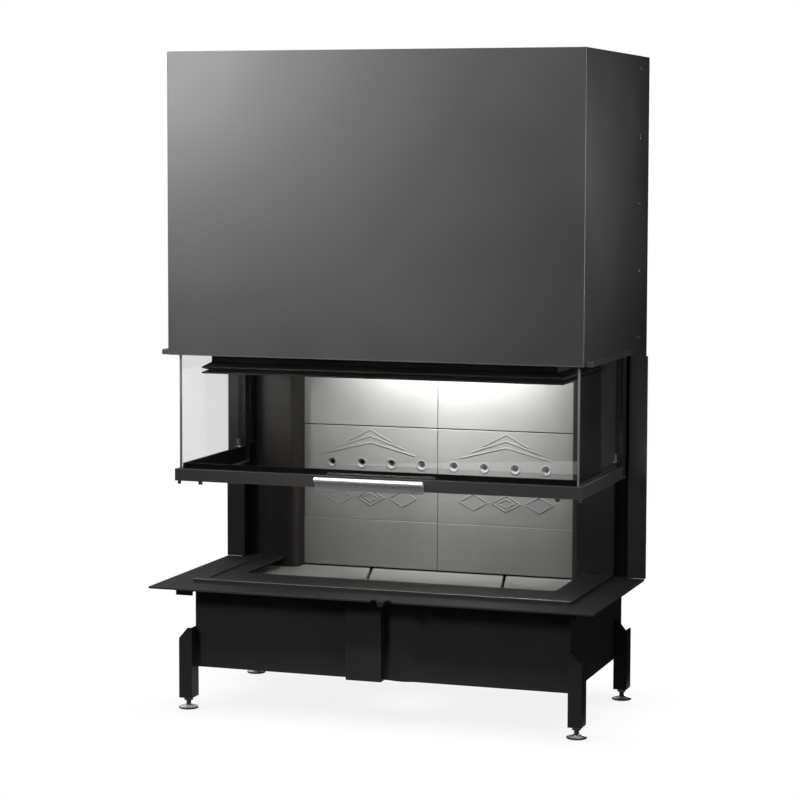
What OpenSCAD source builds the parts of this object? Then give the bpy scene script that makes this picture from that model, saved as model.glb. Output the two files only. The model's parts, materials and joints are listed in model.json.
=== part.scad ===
// Three-sided heating insert with a lifting U-shaped glass door.
// The door is held half raised. Millimetres, Z up, front towards -Y.
// Depths are measured back from the hood's front plane, heights from the floor.

/* [Upper casing] */
// Height from the floor to the top of the casing
total_h = 1550; // [1450:5:1700]
// Width of the upper casing
casing_w = 1000; // [850:10:1200]
// Depth of the upper casing
casing_d = 624; // [560:1:700]
// Height of the casing's bottom edge
casing_z = 848; // [800:1:900]
// Thickness of the casing sheet
sheet = 2; // [1.5:0.5:3]
// How far the side ledges stand out
ledge_out = 19; // [10:1:30]
// Height of the side ledges
ledge_h = 10; // [6:1:20]
// Radius of a casing screw's head
screw_r = 5.5; // [4:0.5:8]

/* [Rear column] */
// Depth of the column behind the door
column_d = 166; // [150:1:190]
// Width of a door guide
slot_w = 37; // [35:1:44]
// Sheet thickness of a door guide
guide_t = 2; // [1.5:0.5:3]
// Width of a trim fin
fin_w = 44; // [30:1:60]

/* [Lintel and dome] */
// Distance from the guides in to the lintel's lips
lip_inset = 20; // [14:1:30]
// Height of the lintel's lower edge under the casing
lip_drop = 48.5; // [40:0.5:60]
// Height of the lintel's top above the casing's edge
lintel_up = 36; // [20:1:60]
// Height of the straight part of the smoke dome
dome_h = 366; // [330:1:366]
// Sheet thickness of the smoke dome
dome_t = 3; // [2:0.5:4]
// Distance of the dome's top below the casing's top
dome_gap = 110; // [90:1:120]
// Depth position of the flue and of the air spigot
flue_y = 300; // [270:1:315]
// Inner radius of the flue collar
flue_r = 100; // [75:5:110]
// Wall thickness of the flue collar
flue_t = 3; // [2:0.5:5]

/* [Lining] */
// Half width of the rear lining
brick_x = 352; // [300:1:380]
// Depth of the rear lining's face behind the column's front
brick_back = 51; // [40:1:60]
// Thickness of the rear lining
brick_t = 30; // [20:1:40]
// Height of the lower row of rear bricks
low_row = 123; // [100:1:150]
// Height of the middle row of rear bricks
mid_row = 236; // [200:1:260]
// Thickness of the floor bricks
floor_t = 40; // [25:1:50]
// Gap in front of the ceiling baffle, where the smoke rises
smoke_gap = 154.5; // [100:0.5:200]
// Height of the ceiling baffle above the lintel
baffle_up = 206; // [150:1:260]
// Thickness of the ceiling baffle
baffle_t = 25; // [15:1:40]
// Height of the air holes above the middle row's lower edge
hole_up = 142; // [80:1:180]
// Distance between air holes
hole_pitch = 78.7; // [60:0.1:85]
// Radius of an air hole
hole_r = 6; // [4:0.5:8]
// Front width of an air column beside the lining
pillar_r = 20; // [10:1:30]

/* [Hearth] */
// Height of the plate's top face
flange_z = 303; // [280:1:330]
// Thickness of the plate
flange_t = 5; // [3:0.5:8]
// How far the plate stands out beside the casing
flange_side = 37; // [20:1:60]
// How far the plate stands out in front of the casing
flange_front = 35; // [25:1:60]
// Width of the raised rail on the plate
rail_w = 28; // [20:1:40]
// Height of the raised rail
rail_h = 9; // [6:1:15]
// Depth of the plate over the floor bricks' front edge, from the rail's front
ledge_d = 142; // [100:1:180]
// How far the hearth floor lies below the plate's top
floor_drop = 22; // [15:1:40]

/* [Base and legs] */
// Depth position of the base box's front
base_front = 62; // [50:1:90]
// Height of the base box's underside
base_z = 100; // [85:1:140]
// Sheet thickness of the base box
base_t = 3; // [2:0.5:5]
// Width of the duct cover
duct_w = 87; // [60:1:120]
// Depth of the duct cover
duct_d = 21; // [15:1:30]
// Outer radius of the combustion air spigot
air_r = 75; // [50:2.5:100]
// Length of the combustion air spigot
air_l = 38; // [25:1:45]
// Width of a leg channel
leg_w = 33; // [28:1:60]
// Depth of a leg channel
leg_d = 42; // [34:1:60]
// Width and height of the slope at a leg's outer shoulder
leg_slope = [22, 26];
// Sheet thickness of a leg
leg_t = 3; // [2:0.5:5]
// Height of a leg's top edge
leg_top = 196; // [170:1:230]
// Height of a leg's lower end
leg_foot = 27; // [22:1:50]

/* [Levelling feet] */
// Radius of a foot's disc
foot_r = 23.5; // [18:0.5:30]
// Thickness of a foot's disc with its cone
foot_h = 8; // [6:1:12]
// Radius of a foot's threaded stem
stem_r = 6; // [5:0.5:8]
// Length of stem above the leg's lower end
stem_up = 61; // [40:1:80]
// Height of the lock nut
nut_h = 8; // [6:1:12]

/* [Lifting door] */
// Height of the door's lower edge in this pose
door_z = 548; // [312:1:700]
// Height of the door frame from its lower to its upper edge
door_h = 536; // [500:1:560]
// Depth position of the door's front face
door_y = 21; // [18:1:26]
// Height of the lower bar
bar_h = 28; // [20:1:32]
// Height of the upper bar
top_h = 24; // [15:1:35]
// Sheet thickness of the door frame
door_t = 7; // [5:0.5:8]
// Thickness of the frame's horizontal plates
plate_t = 4; // [3:0.5:6]
// Thickness of the glass
glass_t = 5; // [4:0.5:6]
// Width of a rear stile across the door's side
stile_w = 23; // [20:0.5:26]
// Depth of a rear stile
stile_d = 30; // [20:1:36]
// Height of the glass retainer
retainer_h = 37; // [30:1:50]
// Radius of a guide roller
roller_r = 16.2; // [12:0.1:16.5]
// Depth of the runners that carry the rollers
runner_d = 24; // [16:1:30]

/* [Handle] */
// Length of the handle
handle_l = 262; // [200:2:320]
// Radius of the round handle rail
handle_r = 6; // [4:0.5:9]
// Height of the handle rail's axis above the door's lower edge
handle_up = 22; // [18:1:24]
// Distance from the door's face out to the rail's axis
handle_out = 35; // [30:1:45]

/* [Lifting gear] */
// Radius at which the cable runs on its pulley
pulley_r = 55; // [45:1:58]
// Width of a pulley
pulley_w = 12; // [10:1:14]
// Radius of a pulley axle
axle_r = 6; // [4:0.5:8]
// Radius of the cable
cable_r = 2; // [1.5:0.25:2.5]
// Height of the counterweight
weight_h = 162; // [120:1:200]
// Thickness of the counterweight
weight_t = 26; // [20:1:30]
// Distance from the pulley axles down to the counterweight's top
weight_drop = 293; // [250:1:350]

/* [Hidden] */
$fn = 96;
running = 0.05;
seam = 0.1;

// Widths, from the middle plane outwards
cx = casing_w / 2;
slot_out = cx - 2 * sheet;
slot_in = slot_out - slot_w;
slot_mid = (slot_in + slot_out) / 2;
lip_x = slot_in - lip_inset;
dome_x = lip_x - 18;
rail_x = slot_in + 3;
hearth_x = rail_x - rail_w;
flange_x = cx + flange_side;
door_x = cx - 7;
glass_x = door_x - 9;
foot_x = slot_in + leg_w / 2;

// Depths, from the casing's front back
y_mid = (casing_d - flange_front - handle_r) / 2;
column_y = casing_d - column_d;
glass_y = door_y + 9;
pane_rear = column_y - 52;
stile_rear = pane_rear + stile_d;
lip_y = door_y + 36.5;
dome_front = lip_y + 18;
baffle_y = dome_front + smoke_gap;
rail_front = door_y + 32;
pillar_y = column_y + 4;
guide_rear = column_y + 42;
brick_y = column_y + brick_back;
lining_rear = brick_y + brick_t;
back_t = 4;
dome_rear = lining_rear + back_t;
base_rear = lining_rear + 11;
seam_y = column_y + 74;
fin_y = column_y - 3;
cable_y = column_y + 22;
pulley_y = cable_y + pulley_r;
leg_y = [base_front - 24, base_rear - 80];
foot_dy = 20;

// Heights, from the floor up
door_top = door_z + door_h;
lip_z = casing_z - lip_drop;
lintel_top = casing_z + lintel_up;
dome_z = lintel_top + dome_h;
dome_top = total_h - dome_gap;
baffle_z = lintel_top + baffle_up;
pulley_z = dome_top;
guide_top = pulley_z - pulley_r - 5;
weight_z = pulley_z - weight_drop - weight_h;
floor_z = flange_z - floor_drop;
shelf_z = floor_z - floor_t;
flange_under = flange_z - flange_t;
arm_z = [door_z + 50, door_z + door_h - 86];
arm_h = 40;
runner_top = door_top - 34;

// Air control in the plate's front edge
lever_x = 39;
lever_w = 18;
stem_w = 12;
travel = 13;
damper_t = 3;
damper_y = base_front + base_t + 0.2;
notch_x = [lever_x - lever_w / 2 - travel - 3, lever_x + lever_w / 2 + travel + 3];
lever_z = flange_z - 7;
stem_z = lever_z - 6;

paint = [0.13, 0.13, 0.135];
black = [0.05, 0.05, 0.05];
dark_steel = [0.22, 0.20, 0.19];
steel = [0.72, 0.72, 0.70];
zinc = [0.70, 0.71, 0.73];
stone = [0.66, 0.65, 0.63];
glass = [0.85, 0.90, 0.90, 0.35];

// Shared helpers

module placed() {
  translate([0, -y_mid, 0]) children();
}

// A box from one corner to the opposite corner
module slab(x1, x2, y1, y2, z1, z2) {
  translate([x1, y1, z1]) cube([x2 - x1, y2 - y1, z2 - z1]);
}

// A right-hand piece, or its mirror image on the left
module on_side(side) {
  mirror([side > 0 ? 0 : 1, 0, 0]) children();
}

// The same piece on both sides of the middle plane
module both_sides() {
  for (side = [-1, 1]) on_side(side) children();
}

// A bar that runs round three sides: front at y1, sides back to y2, w wide inwards
module u_bar(x, y1, y2, w, z1, z2) {
  difference() {
    slab(-x, x, y1, y2, z1, z2);
    slab(-x + w, x - w, y1 + w, y2 + 1, z1 - 1, z2 + 1);
  }
}

module rod_x(x1, x2, y, z, r) {
  translate([x1, y, z]) rotate([0, 90, 0]) cylinder(h = x2 - x1, r = r);
}

module rod_y(x, y1, y2, z, r) {
  translate([x, y1, z]) rotate([-90, 0, 0]) cylinder(h = y2 - y1, r = r);
}

// Upper casing

ledge_y = [8, pane_rear - 18];
hem = 16;

module hood_front_panel() {
  color(paint) placed() {
    slab(-cx, cx, 0, sheet, casing_z, total_h);
    slab(-cx + 20, cx - 20, sheet, hem, casing_z, casing_z + sheet);
  }
}

module hood_side_panel() {
  slab(cx - sheet, cx, sheet, seam_y, casing_z, total_h);
}

module hood_left_panel() {
  color(paint) placed() on_side(-1) hood_side_panel();
}

module hood_right_panel() {
  color(paint) placed() on_side(1) hood_side_panel();
}

module hood_rear_panel() {
  color(paint) placed()
    slab(-cx + sheet, cx - sheet, casing_d - sheet, casing_d, flange_z, total_h - sheet);
}

module hood_top_cover() {
  color(paint) placed() difference() {
    slab(-cx + sheet, cx - sheet, sheet, casing_d, total_h - sheet, total_h);
    translate([0, flue_y, total_h - 10]) cylinder(h = 20, r = flue_r + flue_t + 7);
  }
}

module hood_base_frame() {
  color(paint) placed() {
    difference() {
      union() {
        slab(-cx, cx, 0, ledge_y[1], casing_z - sheet, casing_z);
        slab(-cx - ledge_out, cx + ledge_out, ledge_y[0], ledge_y[1], casing_z - sheet, casing_z);
      }
      slab(-cx + 4, cx - 4, hem, ledge_y[1] + 1, casing_z - 10, casing_z + 10);
    }
    both_sides() slab(cx, cx + ledge_out, ledge_y[0], ledge_y[1], casing_z, casing_z + ledge_h);
  }
}

module column_panel() {
  slab(slot_out, slot_out + sheet, column_y, casing_d - sheet, flange_z, total_h - sheet);
}

module left_column_panel() {
  color(paint) placed() on_side(-1) column_panel();
}

module right_column_panel() {
  color(paint) placed() on_side(1) column_panel();
}

// Five screws up each side, along the seam
module casing_screws() {
  screws = 5;
  margin = 28;
  low = casing_z + margin;
  step = (total_h - margin - 3 - low) / (screws - 1);
  color(paint) placed() both_sides()
    for (k = [0 : screws - 1]) translate([cx, seam_y - 12, low + k * step]) rotate([0, 90, 0]) {
      cylinder(h = 1.2, r = screw_r);
      translate([0, 0, 1.2]) cylinder(h = 1.6, r1 = screw_r, r2 = screw_r - 2);
    }
}

// Lintel with its two gasket lips, one profile run round three sides

module lintel_profile() {
  body = 18;
  inner = 26;
  polygon([[0, lip_z], [0, lip_z + 3.5], [12.5, lip_z + 8.5], [0, lip_z + 13],
    [0, lip_z + 16], [body, lip_z + 27], [body, lintel_top], [inner, lintel_top], [inner, lip_z]]);
}

module lintel_frame() {
  mitre = 60;
  low = lip_z - 5;
  high = lintel_top - lip_z + 10;
  color(black) placed() {
    intersection() {
      translate([-lip_x, lip_y, 0]) rotate([90, 0, 90]) linear_extrude(2 * lip_x) lintel_profile();
      translate([0, 0, low]) linear_extrude(high)
        polygon([[-lip_x, lip_y], [lip_x, lip_y], [lip_x - mitre, lip_y + mitre],
          [-lip_x + mitre, lip_y + mitre]]);
    }
    both_sides() intersection() {
      translate([lip_x, pillar_y, 0]) rotate([90, 0, 0]) linear_extrude(pillar_y - lip_y)
        mirror([1, 0]) lintel_profile();
      translate([0, 0, low]) linear_extrude(high)
        polygon([[lip_x, lip_y], [lip_x, pillar_y], [lip_x - mitre, pillar_y],
          [lip_x - mitre, lip_y + mitre]]);
    }
  }
}

// Smoke dome: a straight sheet box with a sloping roof up to the collar

module dome_body(g) {
  neck_x = flue_r + 30;
  neck_y = flue_r + 20;
  slab(-dome_x + g, dome_x - g, dome_front + g, dome_rear - g, lintel_top - (g > 0 ? 1 : 0), dome_z);
  hull() {
    slab(-dome_x + g, dome_x - g, dome_front + g, dome_rear - g, dome_z - seam, dome_z);
    slab(-neck_x + g, neck_x - g, flue_y - neck_y + g, flue_y + neck_y - g,
      dome_top - g - seam, dome_top - g);
  }
}

module smoke_dome() {
  color(dark_steel) placed() difference() {
    dome_body(0);
    dome_body(dome_t);
    translate([0, flue_y, dome_top - 20]) cylinder(h = 40, r = flue_r + 2);
  }
}

module flue_collar() {
  color(dark_steel) placed() translate([0, flue_y, dome_top]) difference() {
    union() {
      cylinder(h = 4, r = flue_r + flue_t + 11);
      cylinder(h = dome_gap - 4, r = flue_r + flue_t);
    }
    translate([0, 0, -1]) cylinder(h = dome_gap + 2, r = flue_r);
  }
}

module ceiling_baffle() {
  color(stone) placed()
    slab(-dome_x + dome_t, dome_x - dome_t, baffle_y, dome_rear - dome_t, baffle_z, baffle_z + baffle_t);
}

// Firebox back, air columns and lining

module firebox_back_plate() {
  color(dark_steel) placed()
    slab(-slot_in + base_t, slot_in - base_t, lining_rear, dome_rear, shelf_z, lintel_top);
}

// One hollow pillar between the lining and the door guide, with a round inner corner.
// Its outer wall is cut away at the foot, where it stands on the base box's wall.
module air_column() {
  wall = 3;
  round_x = brick_x + pillar_r;
  round_y = pillar_y + pillar_r;
  difference() {
    union() {
      slab(round_x, slot_in, pillar_y, lining_rear, floor_z, lintel_top);
      slab(brick_x, round_x + 1, round_y, lining_rear, floor_z, lintel_top);
      translate([round_x, round_y, floor_z]) cylinder(h = lintel_top - floor_z, r = pillar_r);
    }
    slab(round_x, slot_in - wall, pillar_y + wall, lining_rear - wall, floor_z - 1, lintel_top + 1);
    slab(brick_x + wall, round_x + 1, round_y, lining_rear - wall, floor_z - 1, lintel_top + 1);
    translate([round_x, round_y, floor_z - 1])
      cylinder(h = lintel_top - floor_z + 2, r = pillar_r - wall);
    slab(slot_in - base_t, slot_in + 1, pillar_y - 1, lining_rear + 1, floor_z - 1, flange_under);
  }
}

module left_air_column() {
  color(dark_steel) placed() on_side(-1) air_column();
}

module right_air_column() {
  color(dark_steel) placed() on_side(1) air_column();
}

rows = [floor_z, floor_z + low_row, floor_z + low_row + mid_row, lintel_top - 4];

// A right-hand rear brick; the left-hand one is its mirror image
module rear_brick(row) {
  slab(0, brick_x, brick_y, lining_rear, rows[row], rows[row + 1]);
}

// The middle row carries the countersunk outlets of the secondary air
module rear_brick_mid() {
  first = 41.6;
  holes = 4;
  difference() {
    rear_brick(1);
    for (k = [0 : holes - 1]) {
      x = first + k * hole_pitch;
      rod_y(x, brick_y - 1, lining_rear + 1, rows[1] + hole_up, hole_r);
      translate([x, brick_y - 0.5, rows[1] + hole_up]) rotate([-90, 0, 0])
        cylinder(h = 5.5, r1 = hole_r + 4.5, r2 = hole_r - 0.5);
    }
  }
}

module rear_brick_low_left() {
  color(stone) placed() on_side(-1) rear_brick(0);
}

module rear_brick_low_right() {
  color(stone) placed() on_side(1) rear_brick(0);
}

module rear_brick_mid_left() {
  color(stone) placed() on_side(-1) rear_brick_mid();
}

module rear_brick_mid_right() {
  color(stone) placed() on_side(1) rear_brick_mid();
}

module rear_brick_top_left() {
  color(stone) placed() on_side(-1) rear_brick(2);
}

module rear_brick_top_right() {
  color(stone) placed() on_side(1) rear_brick(2);
}

// The hearth floor is cut by two slanting joints: x at the front, x at the rear
floor_front = base_front + 38;
left_joint = [-58, -182];
right_joint = [276, 166];

module floor_brick(a, b) {
  translate([0, 0, shelf_z]) linear_extrude(floor_t)
    polygon([[a[0], floor_front], [b[0], floor_front], [b[1], lining_rear], [a[1], lining_rear]]);
}

module floor_brick_left() {
  color(stone) placed() floor_brick([-hearth_x, -hearth_x], left_joint);
}

module floor_brick_centre() {
  color(stone) placed() floor_brick(left_joint, right_joint);
}

module floor_brick_right() {
  color(stone) placed() floor_brick(right_joint, [hearth_x, hearth_x]);
}

// Door guides and the fins that close them off from the wall

module guide_channel() {
  difference() {
    slab(slot_in, slot_out, column_y, guide_rear, flange_z, guide_top);
    slab(slot_in + guide_t, slot_out - guide_t, column_y - 1, guide_rear - 3, flange_z - 1, guide_top + 1);
  }
}

module left_guide_channel() {
  color(black) placed() on_side(-1) guide_channel();
}

module right_guide_channel() {
  color(black) placed() on_side(1) guide_channel();
}

module trim_fin() {
  top = casing_z - 10;
  slab(slot_out, slot_out + fin_w, fin_y, column_y, flange_z, top);
  slab(slot_out + sheet, slot_out + 2 * sheet, column_y, guide_rear - 20, flange_z, top);
}

module left_trim_fin() {
  color(paint) placed() on_side(-1) trim_fin();
}

module right_trim_fin() {
  color(paint) placed() on_side(1) trim_fin();
}

// Hearth

module hearth_flange() {
  color(paint) placed() difference() {
    union() {
      slab(-flange_x, flange_x, -flange_front, fin_y, flange_under, flange_z);
      slab(-cx, cx, fin_y, casing_d, flange_under, flange_z);
    }
    slab(-hearth_x, hearth_x, rail_front + rail_w, fin_y, 0, total_h);
    slab(-slot_in, slot_in, fin_y - 1, dome_rear + 2, 0, total_h);
    slab(notch_x[0], notch_x[1], -flange_front - 1, -flange_front + 18, 0, total_h);
  }
}

// The rail, and the inner plate that covers the floor bricks' edges
module hearth_rail() {
  inner_x = hearth_x - 48;
  inner_y = rail_front + ledge_d;
  color(paint) placed() {
    u_bar(rail_x, rail_front, fin_y, rail_w, flange_z, flange_z + rail_h);
    difference() {
      slab(-hearth_x, hearth_x, rail_front + rail_w, fin_y, flange_z + 1, flange_z + 5);
      slab(-inner_x, inner_x, inner_y, fin_y + 1, 0, total_h);
    }
  }
}

// Box with a shelf under the floor bricks, and short brackets under the plate
module base_box() {
  bracket = flange_under - 19;
  color(black) placed() {
    difference() {
      slab(-slot_in, slot_in, base_front, base_rear, base_z, flange_under);
      slab(-slot_in + base_t, slot_in - base_t, base_front + base_t, base_rear - base_t,
        base_z + base_t, shelf_z - base_t);
      slab(-slot_in + base_t, slot_in - base_t, base_front + base_t, base_rear - base_t,
        shelf_z, flange_z);
      slab(notch_x[0] + 1, notch_x[1] - 1, base_front - 1, base_front + base_t + 1,
        stem_z - 1.5, lever_z + 1);
      translate([0, flue_y, base_z - 1]) cylinder(h = base_t + 2, r = air_r - 2);
    }
    both_sides() {
      slab(slot_in - 15, slot_in + 27, 8, 12, bracket, flange_under);
      slab(slot_in + 3, slot_in + 7, 12, base_front, bracket, flange_under);
      slab(slot_in - 3, slot_in + 7, base_front, base_front + 4, bracket, flange_under);
    }
  }
}

module duct_cover() {
  x1 = -73.5;
  wall = 3;
  color(black) placed() difference() {
    slab(x1, x1 + duct_w, base_front - duct_d, base_front, base_z - 2, flange_under);
    slab(x1 + wall, x1 + duct_w - wall, base_front - duct_d + wall, base_front + 1,
      base_z - 3, flange_under + 1);
  }
}

module air_spigot() {
  color(dark_steel) placed() translate([0, flue_y, base_z - air_l]) difference() {
    cylinder(h = air_l, r = air_r);
    translate([0, 0, -1]) cylinder(h = air_l + 2, r = air_r - 2);
  }
}

// Legs: channels with a sloping outer shoulder, and screw feet

module leg(side, y) {
  on_side(side) translate([slot_in, y, 0]) difference() {
    intersection() {
      union() {
        slab(0, leg_w, 0, leg_t, leg_foot, leg_top);
        slab(0, leg_t, leg_t, leg_d, leg_foot, leg_top);
        slab(leg_w - leg_t, leg_w, leg_t, leg_d, leg_foot, leg_top);
        slab(0, leg_w, 0, leg_d, leg_foot, leg_foot + 6);
      }
      translate([0, leg_d + 8, 0]) rotate([90, 0, 0]) linear_extrude(leg_d + 18)
        polygon([[0, 0], [leg_w, 0], [leg_w, leg_top - leg_slope[1]],
          [leg_w - leg_slope[0], leg_top], [0, leg_top]]);
    }
    translate([leg_w / 2, foot_dy, leg_foot - 1]) cylinder(h = 8, r = stem_r + running);
  }
}

module front_left_leg() {
  color(black) placed() leg(-1, leg_y[0]);
}

module front_right_leg() {
  color(black) placed() leg(1, leg_y[0]);
}

module rear_left_leg() {
  color(black) placed() leg(-1, leg_y[1]);
}

module rear_right_leg() {
  color(black) placed() leg(1, leg_y[1]);
}

// Disc, stem and lock nut; the nut bears on the leg's lower end
module screw_foot(side, y) {
  nut_r = stem_r + 5;
  color(zinc) placed() translate([side * foot_x, y + foot_dy, 0]) {
    cylinder(h = foot_h / 2, r = foot_r);
    translate([0, 0, foot_h / 2]) cylinder(h = foot_h / 2, r1 = foot_r, r2 = nut_r);
    cylinder(h = leg_foot + stem_up, r = stem_r);
    translate([0, 0, leg_foot - nut_h]) cylinder(h = nut_h, r = nut_r, $fn = 6);
  }
}

module front_left_foot() {
  screw_foot(-1, leg_y[0]);
}

module front_right_foot() {
  screw_foot(1, leg_y[0]);
}

module rear_left_foot() {
  screw_foot(-1, leg_y[1]);
}

module rear_right_foot() {
  screw_foot(1, leg_y[1]);
}

// Door

module front_glass() {
  x = glass_x - glass_t;
  color(glass) placed()
    slab(-x, x, glass_y, glass_y + glass_t, door_z + plate_t, door_top - plate_t);
}

module side_glass() {
  slab(glass_x - glass_t, glass_x, glass_y, pane_rear, door_z + plate_t, door_top - plate_t);
}

module left_glass() {
  color(glass) placed() on_side(-1) side_glass();
}

module right_glass() {
  color(glass) placed() on_side(1) side_glass();
}

module door_lower_frame() {
  buffer_h = 8;
  color(paint) placed() {
    u_bar(door_x, door_y, pane_rear, door_t, door_z, door_z + bar_h);
    u_bar(door_x, door_y, stile_rear, stile_w, door_z, door_z + plate_t);
    both_sides() {
      translate([door_x - 60, door_y + 12, door_z - buffer_h]) cylinder(h = buffer_h, r = 5);
      translate([door_x - 8, door_y + 8, door_z - buffer_h]) cylinder(h = buffer_h, r = 4);
    }
  }
}

module glass_retainer() {
  gap = 1;
  color(black) placed()
    u_bar(glass_x - glass_t - gap, glass_y + glass_t + gap, pane_rear, 8,
      door_z + plate_t, door_z + plate_t + retainer_h);
}

module door_upper_frame() {
  color(paint) placed() {
    u_bar(door_x, door_y, pane_rear, door_t, door_top - top_h, door_top);
    u_bar(door_x, door_y, stile_rear, stile_w, door_top - plate_t, door_top);
  }
}

// Rear stiles, arms into the guides, runners and their rollers
module door_carriages() {
  color(black) placed() both_sides() {
    slab(door_x - stile_w, door_x, pane_rear, stile_rear, door_z + plate_t, door_top - plate_t);
    for (z = arm_z) {
      slab(slot_mid - 8, slot_mid + 8, stile_rear, pillar_y, z, z + arm_h);
      rod_y(slot_mid, pillar_y + runner_d, guide_rear - 6, z + arm_h / 2, roller_r);
    }
    slab(slot_mid - 10, slot_mid + 10, pillar_y, pillar_y + runner_d, arm_z[0] - 8, runner_top);
  }
}

rail_y = door_y - handle_out;
rail_z = door_z + handle_up;

module handle_rail() {
  color(steel) placed() rod_x(-handle_l / 2, handle_l / 2, rail_y, rail_z, handle_r);
}

// Grip plate under the rail, on two studs
module handle_plate() {
  plate_y = rail_y + 5;
  color(steel) placed() difference() {
    union() {
      slab(-handle_l / 2, handle_l / 2, plate_y, plate_y + 3, door_z - 2, rail_z);
      both_sides() rod_y(handle_l / 2 - 26, plate_y + 2, door_y, door_z + 12, 5);
    }
    rod_x(-handle_l, handle_l, rail_y, rail_z, handle_r);
  }
}

// Counterweight, pulleys and cables behind the firebox

module counterweight() {
  x = slot_out - 8;
  y = pulley_y + pulley_r;
  color(dark_steel) placed()
    slab(-x, x, y - weight_t / 2, y + weight_t / 2, weight_z, weight_z + weight_h);
}

module pulley_brackets() {
  half = 20;
  cheek = 3;
  play = 5;
  inner = slot_mid - pulley_w / 2 - play;
  outer = slot_mid + pulley_w / 2 + play;
  top = total_h - 30;
  color(steel) placed() both_sides() {
    slab(inner - cheek, inner, pulley_y - half, pulley_y + half, pulley_z - half, top);
    slab(outer, outer + cheek, pulley_y - half, pulley_y + half, pulley_z - half, top);
    slab(inner - cheek, slot_out, pulley_y - half, pulley_y + half, top - 4, top);
    rod_x(inner - 1, outer + 1, pulley_y, pulley_z, axle_r);
  }
}

module pulley(side) {
  groove_w = 2 * cable_r + 1.2;
  rim = 3;
  color(zinc) placed() translate([side * slot_mid, pulley_y, pulley_z]) rotate([0, 90, 0])
    difference() {
      translate([0, 0, -pulley_w / 2]) cylinder(h = pulley_w, r = pulley_r + rim);
      translate([0, 0, -pulley_w]) cylinder(h = 2 * pulley_w, r = axle_r + running);
      rotate_extrude() translate([pulley_r - cable_r - seam, -groove_w / 2])
        square([rim + cable_r + 3, groove_w]);
    }
}

module left_pulley() {
  pulley(-1);
}

module right_pulley() {
  pulley(1);
}

// The half loop of cable on each pulley
module cable_wraps() {
  color(steel) placed() both_sides()
    translate([slot_mid, pulley_y, pulley_z]) rotate([90, 0, 90])
      rotate_extrude(angle = 180) translate([pulley_r, 0]) circle(r = cable_r, $fn = 32);
}

module cable(y, z) {
  translate([slot_mid, y, z]) cylinder(h = pulley_z - z, r = cable_r, $fn = 32);
}

module door_cables() {
  color(steel) placed() both_sides() cable(cable_y, runner_top);
}

module weight_cables() {
  color(steel) placed() both_sides() cable(pulley_y + pulley_r, weight_z + weight_h);
}

// Air control: a tongue in the flange's notch, its bar and the damper plate

module air_lever() {
  tip = -flange_front - handle_r;
  color(black) placed() {
    slab(lever_x - lever_w / 2, lever_x + lever_w / 2, tip, -flange_front + 16, lever_z, flange_z);
    slab(lever_x - stem_w / 2, lever_x + stem_w / 2, tip, damper_y + damper_t, stem_z, lever_z);
    slab(-60, 100, damper_y, damper_y + damper_t, shelf_z + 9, lever_z);
  }
}

hood_front_panel();
hood_left_panel();
hood_right_panel();
hood_rear_panel();
hood_top_cover();
hood_base_frame();
left_column_panel();
right_column_panel();
casing_screws();
lintel_frame();
smoke_dome();
flue_collar();
ceiling_baffle();
firebox_back_plate();
left_air_column();
right_air_column();
rear_brick_low_left();
rear_brick_low_right();
rear_brick_mid_left();
rear_brick_mid_right();
rear_brick_top_left();
rear_brick_top_right();
floor_brick_left();
floor_brick_centre();
floor_brick_right();
left_guide_channel();
right_guide_channel();
left_trim_fin();
right_trim_fin();
hearth_flange();
hearth_rail();
base_box();
duct_cover();
air_spigot();
front_left_leg();
front_right_leg();
rear_left_leg();
rear_right_leg();
pulley_brackets();
cable_wraps();
front_glass();
left_glass();
right_glass();
door_lower_frame();
glass_retainer();
door_upper_frame();
door_carriages();
handle_rail();
handle_plate();
counterweight();
left_pulley();
right_pulley();
door_cables();
weight_cables();
air_lever();
front_left_foot();
front_right_foot();
rear_left_foot();
rear_right_foot();
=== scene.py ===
# %% [markdown]
# # A three-sided fireplace insert with a lifting glass door
#
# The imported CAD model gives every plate, pane and joint its place. This lesson dresses it:
# bent and painted sheet steel, fireclay bricks, ceramic glass, a stainless handle and zinc
# plated feet. Each step says what the piece is on the real product and how it is made here.

import json
import math

import bmesh
import bpy
from mathutils import Matrix, Vector


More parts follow.
